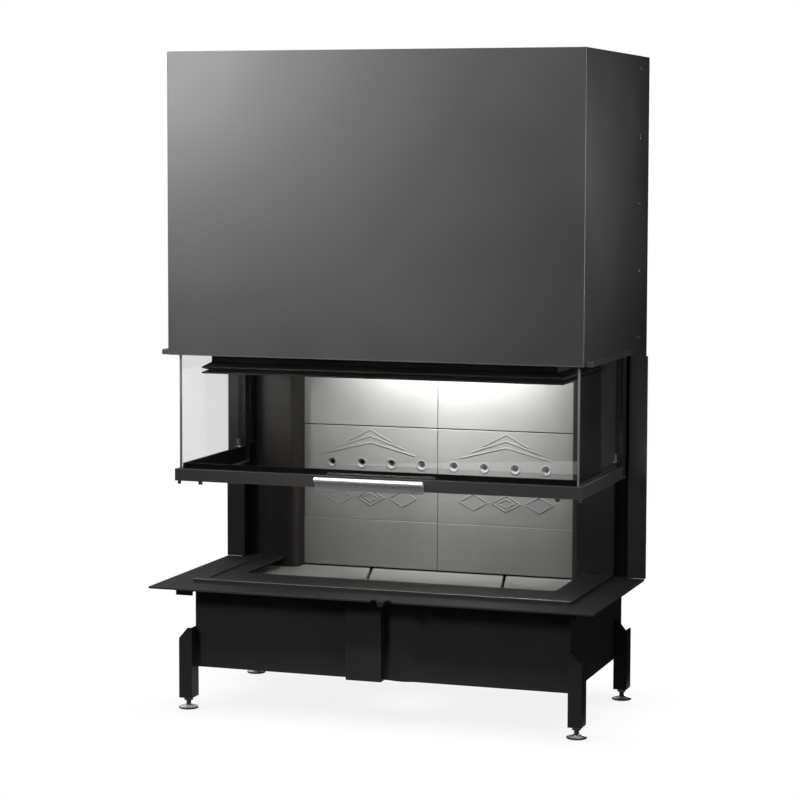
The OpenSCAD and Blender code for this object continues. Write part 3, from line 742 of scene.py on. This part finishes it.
# %% Casing sheets
LONG_EDGE, ON_FACE = 0.3, 1e-4
BEND_RADIUS, CUT_EDGE = 0.0040, 0.0006
node = "hood_front_panel"
bm = copy_of(node)
panel_low, panel_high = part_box("hood_front_panel")


def bend(edge):
    a, b = edge.verts
    upright_edge = abs(a.co.z - b.co.z) > LONG_EDGE
    at_corner = min(a.co.x - panel_low.x, panel_high.x - a.co.x) < ON_FACE
    return upright_edge and at_corner and a.co.y - panel_low.y < ON_FACE


print("bends", round_edges(bm, BEND_RADIUS, 6, keep=bend))
round_edges(bm, CUT_EDGE, 2, sharper_than=50)
piece(bm, "hood_front_panel-bent", casing_paint, "casing", [node])
for node in (
    "hood_left_panel",
    "hood_right_panel",
    "hood_top_cover",
    "left_column_panel",
    "right_column_panel",
):
    formed(node, casing_paint, 0.0009, 3)
formed("hood_base_frame", casing_paint, 0.0006)
for side in SIDES:
    formed(side + "_trim_fin", casing_paint, 0.0008)

# %% [markdown]
# A flat sheet this large would drum, so the rear one has two fields pressed 1.2 mm inwards.
# The back is cut once across, and each half is inset twice: the second inset also goes down,
# on a slope so narrow and rounded that it catches the light as two thin frames.

# %% Pressed fields of the rear sheet
FIELD_BORDER, FIELD_SLOPE, FIELD_DEPTH = 0.050, 0.004, 0.0012
node = "hood_rear_panel"
bm = copy_of(node)
sheet_low, sheet_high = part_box("hood_rear_panel")
whole = bm.verts[:] + bm.edges[:] + bm.faces[:]
middle = (sheet_low + sheet_high) / 2
bmesh.ops.bisect_plane(bm, geom=whole, plane_co=middle, plane_no=(0, 0, 1))
facing_back = [f for f in bm.faces if f.normal.y > 0.9]
fields = [f for f in facing_back if sheet_high.y - f.calc_center_median().y < ON_FACE]
for thickness, depth in ((FIELD_BORDER, 0), (FIELD_SLOPE, -FIELD_DEPTH)):
    bmesh.ops.inset_individual(bm, faces=fields, thickness=thickness, depth=depth, use_even_offset=True)
round_edges(bm, CUT_EDGE, 3, sharper_than=5)
piece(bm, "hood_rear_panel-pressed", casing_paint, "casing", [node])
print("pressed fields", len(fields))

# %% [markdown]
# The rear column is fixed with button head screws. Each head is a stack of rings that are
# bridged one to the next, and the last two rings have six corners: they make the socket.

# %% Screw heads
SOCKET_RADIUS = 0.0021


def button_head(radius, height):
    bm = bmesh.new()

    def ring(count, r, z):
        made = bmesh.ops.create_circle(bm, segments=count, radius=r)["verts"]
        bmesh.ops.translate(bm, verts=made, vec=(0, 0, z))
        return list({e for v in made for e in v.link_edges}), made

    dome = ((radius, 0), (radius, height * 0.3), (radius * 0.86, height * 0.8), (radius * 0.6, height))
    rings = [ring(24, r, z) for r, z in dome]
    rings += [ring(6, SOCKET_RADIUS, height), ring(6, SOCKET_RADIUS, height * 0.3)]
    for (first, _), (second, _) in zip(rings, rings[1:]):
        bmesh.ops.bridge_loops(bm, edges=first + second)
    for _, verts in (rings[0], rings[-1]):
        bmesh.ops.contextual_create(bm, geom=verts)
    bmesh.ops.recalc_face_normals(bm, faces=bm.faces)
    return bm


bm = bmesh.new()
screws = islands("casing_screws")
for low, high in screws:
    middle = (low + high) / 2
    outward = 1 if middle.x > 0 else -1
    height = high.x - low.x
    place = Vector((low.x if outward > 0 else high.x, middle.y, middle.z))
    turn = Matrix.Rotation(math.radians(90 * outward), 4, "Y")
    head = button_head((high.z - low.z) / 2, height)
    add_in(bm, head, Matrix.Translation(place) @ turn)
piece(bm, "button_heads", screw_paint, "casing", ["casing_screws"])
print("screws", len(screws))

# %% [markdown]
# ### Under the casing: lintel, lining and guides
#
# Under the casing a black lintel box hangs inside the glass. Inside, pale bricks cover the
# back, hollow dark columns close both sides, and slotted guides carry the door. The smoke
# dome, the collar, the back plate, the spigot and the counterweight are hidden or nearly so.
# The usual case is enough for all of them, with a wider rounding on the columns, whose sheet
# is rolled.

# %% Lintel, guides and air columns
formed("lintel_frame", black_paint, 0.0010)
for side in SIDES:
    formed(side + "_guide_channel", black_paint, 0.0008)
    formed(side + "_air_column", dark_sheet, 0.0020, 3)
for node in ("smoke_dome", "flue_collar", "firebox_back_plate", "air_spigot", "counterweight"):
    formed(node, dark_sheet, 0.0008)

# %% [markdown]
# The flue collar and the air spigot are short tubes. A pipe pushed over them stops at a
# rolled bead, so each tube gets one, with a half-round section.

# %% Rolled beads
BEAD_RADIUS, BEAD_INSET, COLLAR_FLANGE = 0.0028, 0.0008, 0.011
COLLAR_BEAD_DOWN, SPIGOT_BEAD_UP = 0.014, 0.012


def rolled_bead(name, node, radius, z):
    angles = [math.radians(d) for d in range(0, 181, 30)]
    section = [
        (radius - BEAD_INSET + BEAD_RADIUS * math.sin(a), BEAD_RADIUS * math.cos(a)) for a in angles
    ]
    low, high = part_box(node)
    wall = radius - 0.0012
    bm = turned([(wall, BEAD_RADIUS)] + section + [(wall, -BEAD_RADIUS)], 64)
    bm.transform(Matrix.Translation(((low.x + high.x) / 2, (low.y + high.y) / 2, z)))
    piece(bm, name, dark_sheet, "casing")


collar_low, collar_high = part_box("flue_collar")
spigot_low, spigot_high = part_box("air_spigot")
collar_radius = (collar_high.x - collar_low.x) / 2 - COLLAR_FLANGE
spigot_radius = (spigot_high.x - spigot_low.x) / 2
rolled_bead("collar_bead", "flue_collar", collar_radius, collar_high.z - COLLAR_BEAD_DOWN)
rolled_bead("spigot_bead", "air_spigot", spigot_radius, spigot_low.z + SPIGOT_BEAD_UP)
print("tube radii", round(collar_radius, 3), round(spigot_radius, 3))

# %% [markdown]
# ### The hearth
#
# A wide black plate carries the lining. A raised rail frames the floor bricks on three sides.
# Its rounded upper edge gets bare steel on the sloping faces of that rounding, on the outside
# only: partly wear from logs and ash shovels, partly a painted highlight along the ridge.
# Under the plate are the base box with its duct cover, and four legs of folded channel. The
# brackets of the pulleys and the air control's lever are small plates of the same kind.

# %% Hearth plate, rail and base
formed("hearth_flange", hearth_paint, 0.0007)
node = "hearth_rail"
bm = copy_of(node)
round_edges(bm, 0.0040, 4)
STEEPEST, FLATTEST = 0.25, 0.97
worn_and_highlight_faces = 0
# Bare steel on the outer rounding: partly wear, partly a painted highlight along the ridge.
for face in bm.faces:
    face.normal_update()
    tilted = STEEPEST < face.normal.z < FLATTEST
    outward = face.normal.y < -0.2 or face.normal.x * face.calc_center_median().x > 0.1
    face.material_index = 1 if tilted and outward else 0
    worn_and_highlight_faces += face.material_index
piece(bm, "hearth_rail-formed", [hearth_paint, bare_steel], "casing", [node])
formed("base_box", base_paint, 0.0008)
formed("duct_cover", base_paint, 0.0020, 3)
for corner in CORNERS:
    formed(corner + "_leg", leg_paint, 0.0012, 3)
formed("pulley_brackets", zinc, 0.0005)
formed("air_lever", black_paint, 0.0008)
print("worn faces of the rail", worn_and_highlight_faces)

# %% [markdown]
# ### Fireclay bricks
#
# Fireclay bricks are pressed in a mould, so their edges are rounded by one to three
# millimetres. On the rear ones only the outer edges get this rounding here, and the air
# holes get their eyelets in the next step. The CAD bricks touch, but laid bricks show dark
# joints, so each one gives up its share of the joints round it. The lowest row also stands
# forward by a small step, and ends a little over the floor bricks.

# %% Bricks
TOP_JOINT, LOW_JOINT, SIDE_JOINT, LOW_STEP = 0.0022, 0.0006, 0.0014, 0.0020
FLOOR_JOINT, FLOOR_GAP = 0.0070, 0.0042
CLOSE, RIM, INNER_X = 1e-5, 5e-3, 0.3


def open_rear_joints(vert, node, low, high):
    if abs(vert.co.z - high.z) < CLOSE:
        vert.co.z -= TOP_JOINT if "mid" in node else LOW_JOINT
    if "low" in node and abs(vert.co.y - low.y) < CLOSE:
        vert.co.y -= LOW_STEP
    if "low" in node and abs(vert.co.z - low.z) < CLOSE:
        vert.co.z += FLOOR_GAP
    if abs(vert.co.x) < CLOSE:
        vert.co.x += SIDE_JOINT / 2 if low.x > -CLOSE else -SIDE_JOINT / 2


def open_floor_joints(vert, low, high):
    if abs(vert.co.x) < INNER_X:
        vert.co.x += FLOOR_JOINT / 2 if vert.co.x < (low.x + high.x) / 2 else -FLOOR_JOINT / 2


BRICKS = [n for n in frame["nodes"] if n.startswith(("rear_brick", "floor_brick"))]
for node in BRICKS:
    low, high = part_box(node)
    bm = copy_of(node)

    def outer(edge, low=low, high=high):
        middle = (edge.verts[0].co + edge.verts[1].co) / 2
        near = sum(min(middle[i] - low[i], high[i] - middle[i]) < RIM for i in range(3))
        return near >= 2

    if node.startswith("floor"):
        for vert in bm.verts:
            open_floor_joints(vert, low, high)
        round_edges(bm, 0.0026, 4)
        finish = hearth_brick
    else:
        for vert in bm.verts:
            open_rear_joints(vert, node, low, high)
        round_edges(bm, 0.0012, 3, keep=outer)
        finish = firebrick
    piece(bm, node + "-pressed", finish, "casing", [node])
formed("ceiling_baffle", firebrick, 0.0016, 3)
print("bricks", len(BRICKS))

# %% [markdown]
# The middle bricks carry the air holes. Each hole has a small raised eyelet, where the
# mould's pin was. The holes are found in the CAD mesh: their rims are the only points of
# the front face that don't lie on the brick's outline.

# %% Air hole eyelets
INSIDE_FACE, ONE_HOLE, NEAR_HOLE = 0.004, 0.03, 0.02
LIP = ((0, -0.003), (0, 0.0002), (0.001, 0.0009), (0.003, 0.0009), (0.0042, -0.0004))


def hole_centres(node):
    """The centres of the holes in a brick's front face, and all points of their rims."""
    low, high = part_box(node)
    rims = []
    for vert in frame["nodes"][node].data.vertices:
        c = vert.co
        inside = min(c.x - low.x, high.x - c.x, c.z - low.z, high.z - c.z) > INSIDE_FACE
        if abs(c.y - low.y) < CLOSE and inside:
            rims.append(c.copy())
    groups = []
    for c in rims:
        for group in groups:
            if (group[0] - c).length < ONE_HOLE:
                group.append(c)
                break
        else:
            groups.append([c])
    return [sum(g, Vector()) / len(g) for g in groups], rims


for side in SIDES:
    node = "rear_brick_mid_" + side
    centres, rims = hole_centres(node)
    reaches = [(c - centres[0]).length for c in rims]
    hole = max(reach for reach in reaches if reach < NEAR_HOLE)
    bm = bmesh.new()
    for centre in centres:
        lip = turned([(hole + out, up) for out, up in LIP], 28)
        add_in(bm, lip, Matrix.Translation(centre) @ TO_FRONT)
    piece(bm, "eyelets_" + side, firebrick, "casing")
    print(side, "holes", len(centres), "radius", round(hole * 1000, 1))

# %% [markdown]
# The middle bricks also have a pressed ornament. Here it is a plain geometric one: nested
# chevrons above the holes and a row of lozenges below them. Every line is a low rib with a
# flat top and sloping sides, swept along its points with mitred corners. Its foot is sunk
# 0.3 mm into the brick, so that no gap shows.

# %% Pressed ornament
RIB_WIDTH, RIB_HEIGHT, RIB_FOOT = 0.0030, 0.0011, 0.0003
RIB_TOP_SHARE, SHARPEST_MITRE = 0.3, 0.3
CHEVRON_OVER_HOLES, CHEVRON_STEP, CHEVRON_RISE = 0.022, 0.016, 0.030
CHEVRON_HALF, CHEVRON_LESS = 0.118, 0.030
LOZENGE_UP, LOZENGE_APART = 0.056, 0.084
WIDE_LOZENGE, SMALL_LOZENGE = (0.036, 0.020), (0.020, 0.011)


def rib(bm, points, closed, y):
    count = len(points)
    rows = []
    for i, (x, z) in enumerate(points):
        before = points[i - 1] if closed or i > 0 else None
        after = points[(i + 1) % count] if closed or i < count - 1 else None
        normals = []
        for a, b in ((before, (x, z)), ((x, z), after)):
            if a is not None and b is not None:
                d = Vector((b[0] - a[0], b[1] - a[1])).normalized()
                normals.append(Vector((-d.y, d.x)))
        mitre = sum(normals, Vector((0, 0))).normalized()
        reach = RIB_WIDTH / 2 / max(SHARPEST_MITRE, mitre.dot(normals[0]))
        side = mitre * reach
        foot, top = y + RIB_FOOT, y - RIB_HEIGHT
        rows.append([
            bm.verts.new((x - side.x, foot, z - side.y)),
            bm.verts.new((x - side.x * RIB_TOP_SHARE, top, z - side.y * RIB_TOP_SHARE)),
            bm.verts.new((x + side.x * RIB_TOP_SHARE, top, z + side.y * RIB_TOP_SHARE)),
            bm.verts.new((x + side.x, foot, z + side.y)),
        ])
    pairs = list(zip(rows, rows[1:])) + ([(rows[-1], rows[0])] if closed else [])
    for first, second in pairs:
        for k in range(3):
            bm.faces.new((first[k], second[k], second[k + 1], first[k + 1]))
    if not closed:
        bm.faces.new(rows[0])
        bm.faces.new(rows[-1][::-1])


def chevron(x, z, half, rise):
    return [(x - half, z), (x, z + rise), (x + half, z)]


def lozenge(x, z, half, rise):
    return [(x - half, z), (x, z + rise), (x + half, z), (x, z - rise)]


for side in SIDES:
    node = "rear_brick_mid_" + side
    low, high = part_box(node)
    middle = (low.x + high.x) / 2
    hole_z = hole_centres(node)[0][0].z
    bm = bmesh.new()
    for step in range(3):
        z = hole_z + CHEVRON_OVER_HOLES + step * CHEVRON_STEP
        half = CHEVRON_HALF - step * CHEVRON_LESS
        rib(bm, chevron(middle, z, half, CHEVRON_RISE), False, low.y)
    for k in (-1, 0, 1):
        rib(bm, lozenge(middle + k * LOZENGE_APART, low.z + LOZENGE_UP, *WIDE_LOZENGE), True, low.y)
    rib(bm, lozenge(middle, low.z + LOZENGE_UP, *SMALL_LOZENGE), True, low.y)
    bmesh.ops.recalc_face_normals(bm, faces=bm.faces)
    print("ornament", side, "faces", len(bm.faces))
    piece(bm, "ornament_" + side, firebrick, "casing", smooth=False)

# %% [markdown]
# ### The door
#
# The three panes meet at the corners. A painted bar holds their lower edge, a black sheet
# keeps them from the inside, and a top frame hangs them from the carriages in the guides.
# A pane keeps its exact CAD shape, because a rounded edge would bend the view through it.
# Its two large faces are clear, and the faces across its thickness are ground.

# %% Door frames and panes
# The lower frame's lighter paint is painted light in place of the key lamp, which the flag keeps off
# it.
formed("door_lower_frame", door_bar_painted_light, 0.0008)
formed("glass_retainer", matt_black, 0.0006)
formed("door_upper_frame", casing_paint, 0.0008)
formed("door_carriages", black_paint, 0.0010)
for node in ("front_glass", "left_glass", "right_glass"):
    bm = copy_of(node)
    low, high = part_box(node)
    thin = min(range(3), key=lambda i: high[i] - low[i])
    for face in bm.faces:
        face.material_index = 0 if abs(face.normal[thin]) > 0.9 else 1
    piece(bm, node + "-pane", [pane_glass, ground_edge], "door", [node], smooth=False)
    print(node, "thin along", "xyz"[thin])

# %% [markdown]
# The handle is a round rail with a flat grip plate that hangs down behind it. The rail is
# turned from bar and its ends are chamfered, so it is spun round Z from a short profile and
# laid along X.

# %% Handle
END_CHAMFER = 0.0010
formed("handle_plate", stainless, 0.0006)
low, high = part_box("handle_rail")
radius = (high.z - low.z) / 2
length = high.x - low.x
profile = [(0, 0), (radius - END_CHAMFER, 0), (radius, END_CHAMFER)]
profile += [(radius, length - END_CHAMFER), (radius - END_CHAMFER, length), (0, length)]
bm = turned(profile, 40)
bm.transform(Matrix.Translation((low.x, (low.y + high.y) / 2, (low.z + high.z) / 2)) @ ALONG_X)
piece(bm, "handle_rail-turned", handle_rail_highlight_steel, "door", ["handle_rail"])
print("handle rail", round(length * 1000), "mm long and", round(radius * 2000, 1), "mm thick")

# %% [markdown]
# A spring clip, bent from bare steel strip, holds each side pane near its rear end. It
# stands on the retainer and leans against the inside of the pane. Two thin blocks make it:
# the upright leaf and the foot.

# %% Pane clips
CLIP_PLAY, CLIP_WIDTH, CLIP_FROM_END = 0.0004, 0.016, 0.014
CLIP_LEAF, CLIP_FOOT = (0.0022, 0.020), (0.0085, 0.0018)


def small_block(lows, highs):
    bm = bmesh.new()
    bmesh.ops.create_cube(bm, size=1)
    bmesh.ops.scale(bm, vec=Vector(highs) - Vector(lows), verts=bm.verts)
    bmesh.ops.translate(bm, vec=(Vector(highs) + Vector(lows)) / 2, verts=bm.verts)
    round_edges(bm, 0.0005, 2)
    return bm


_, front_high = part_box("front_glass")
_, keep_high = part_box("glass_retainer")
rear, bottom = keep_high.y - CLIP_FROM_END, keep_high.z
clips = bmesh.new()
for sign in (-1, 1):
    for reach, height in (CLIP_LEAF, CLIP_FOOT):
        xs = sorted((sign * (front_high.x - CLIP_PLAY), sign * (front_high.x - reach)))
        block = small_block((xs[0], rear - CLIP_WIDTH, bottom), (xs[1], rear, bottom + height))
        add_in(clips, block, Matrix())
piece(clips, "pane_clips", bare_steel, "door")
print("clips stand at z", round(bottom, 3))

# %% [markdown]
# ### Pulleys, cables and feet
#
# The pulleys are turned wheels on the axles of their brackets. The half loop of cable on
# each wheel has its round shape from the CAD already, so it only gets the wire rope's look.

# %% Pulleys
for side in SIDES:
    formed(side + "_pulley", zinc, 0.0005)
wraps = frame["nodes"]["cable_wraps"].data
wraps.materials.clear()
wraps.materials.append(wire_rope)
print("cable wraps in", wraps.materials[0].name)

# %% [markdown]
# Wire ropes run from the door's carriages over the pulleys to the counterweight. A rope's
# top stays at its pulley while its foot moves with the door or with the counterweight. Here
# each straight run is a tube of short rings between the two, baked in place and tied to
# neither body.

# %% Straight cable runs
CABLE_RINGS = 24
for node, body in (("door_cables", "door"), ("weight_cables", "counterweight")):
    low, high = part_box(node)
    mid_y, radius = (low.y + high.y) / 2, (high.y - low.y) / 2
    rings = [(radius, low.z + (high.z - low.z) * i / CABLE_RINGS) for i in range(CABLE_RINGS + 1)]
    profile = [(0, low.z)] + rings + [(0, high.z)]
    bm = bmesh.new()
    for x in (low.x + radius, high.x - radius):
        add_in(bm, turned(profile, 20), Matrix.Translation((x, mid_y, 0)))
    runs = piece(bm, node + "-strung", wire_rope, None, [node])
    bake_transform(runs)
    print(node, "from", round(low.z, 3), "to", round(high.z, 3))

# %% [markdown]
# A levelling foot is a plated disc on a blackened threaded rod with a hexagonal nut, which
# is tightened against the leg. The disc's rim gets the rod's dark colour, so only its top is
# bright, and that top's pale zinc is partly a painted highlight. The thread is one pitch of
# profile, spun many times round while it climbs, over a plain core.

# %% Levelling feet
THREAD_PITCH, THREAD_DEPTH, THREAD_STEPS = 0.00175, 0.0008, 20
STEM_RADIUS, DISC_HEIGHT, BRIGHT_FROM = 0.006, 0.0082, 0.0040
NUT_RADIUS, NUT_HEIGHT = 0.011, 0.008
leg_low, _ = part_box("front_left_leg")


def thread(low_z, high_z):
    bm = bmesh.new()
    turns = int((high_z - low_z) / THREAD_PITCH) - 1
    root = STEM_RADIUS - THREAD_DEPTH
    shape = [(root, 0), (STEM_RADIUS, 0.0006), (STEM_RADIUS, 0.0010), (root, THREAD_PITCH)]
    verts = [bm.verts.new((r, 0, low_z + h)) for r, h in shape]
    edges = [bm.edges.new(pair) for pair in zip(verts, verts[1:])]
    bmesh.ops.spin(
        bm,
        geom=verts + edges,
        cent=(0, 0, 0),
        axis=(0, 0, 1),
        dvec=(0, 0, THREAD_PITCH / THREAD_STEPS),
        angle=2 * math.pi * turns,
        steps=THREAD_STEPS * turns,
        use_merge=False,
    )
    bmesh.ops.remove_doubles(bm, verts=bm.verts, dist=2 * WELD)
    bmesh.ops.recalc_face_normals(bm, faces=bm.faces)
    return bm


def hex_nut(low_z, high_z):
    bm = bmesh.new()
    bmesh.ops.create_cone(
        bm,
        cap_ends=True,
        segments=6,
        radius1=NUT_RADIUS,
        radius2=NUT_RADIUS,
        depth=high_z - low_z,
    )
    bmesh.ops.translate(bm, verts=bm.verts, vec=(0, 0, (low_z + high_z) / 2))
    round_edges(bm, 0.0009, 2)
    return bm


def levelling_foot(corner):
    node = corner + "_foot"
    low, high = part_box(node)
    radius = (high.x - low.x) / 2
    tip = high.z - 0.001
    core_radius = STEM_RADIUS - 0.0007
    disc = [(0, 0), (radius - 0.0012, 0), (radius, 0.0012), (radius, 0.0034), (radius - 0.001, 0.0044)]
    disc += [(radius * 0.72, 0.0052), (0.0125, 0.0068), (0.0105, DISC_HEIGHT), (0, DISC_HEIGHT)]
    core = [(0, DISC_HEIGHT), (core_radius, DISC_HEIGHT), (core_radius, tip)]
    core += [(STEM_RADIUS - 0.0016, high.z), (0, high.z)]
    bm = turned(disc, 48)
    disc_faces = len(bm.faces)
    add_in(bm, turned(core, 20), Matrix())
    add_in(bm, thread(DISC_HEIGHT, tip), Matrix())
    add_in(bm, hex_nut(leg_low.z - NUT_HEIGHT, leg_low.z), Matrix())
    # Only the disc's top gets the pale zinc, partly a painted highlight; all else gets the dark steel.
    for i, face in enumerate(bm.faces):
        top_of_disc = i < disc_faces and face.calc_center_median().z > BRIGHT_FROM
        face.material_index = 0 if top_of_disc else 1
    bm.transform(Matrix.Translation(((low.x + high.x) / 2, (low.y + high.y) / 2, 0)))
    piece(bm, node + "-screwed", [foot_zinc_with_highlight, black_steel], body_of(node), [node])


for corner in CORNERS:
    levelling_foot(corner)
print("nuts tight at z", round(leg_low.z, 4))
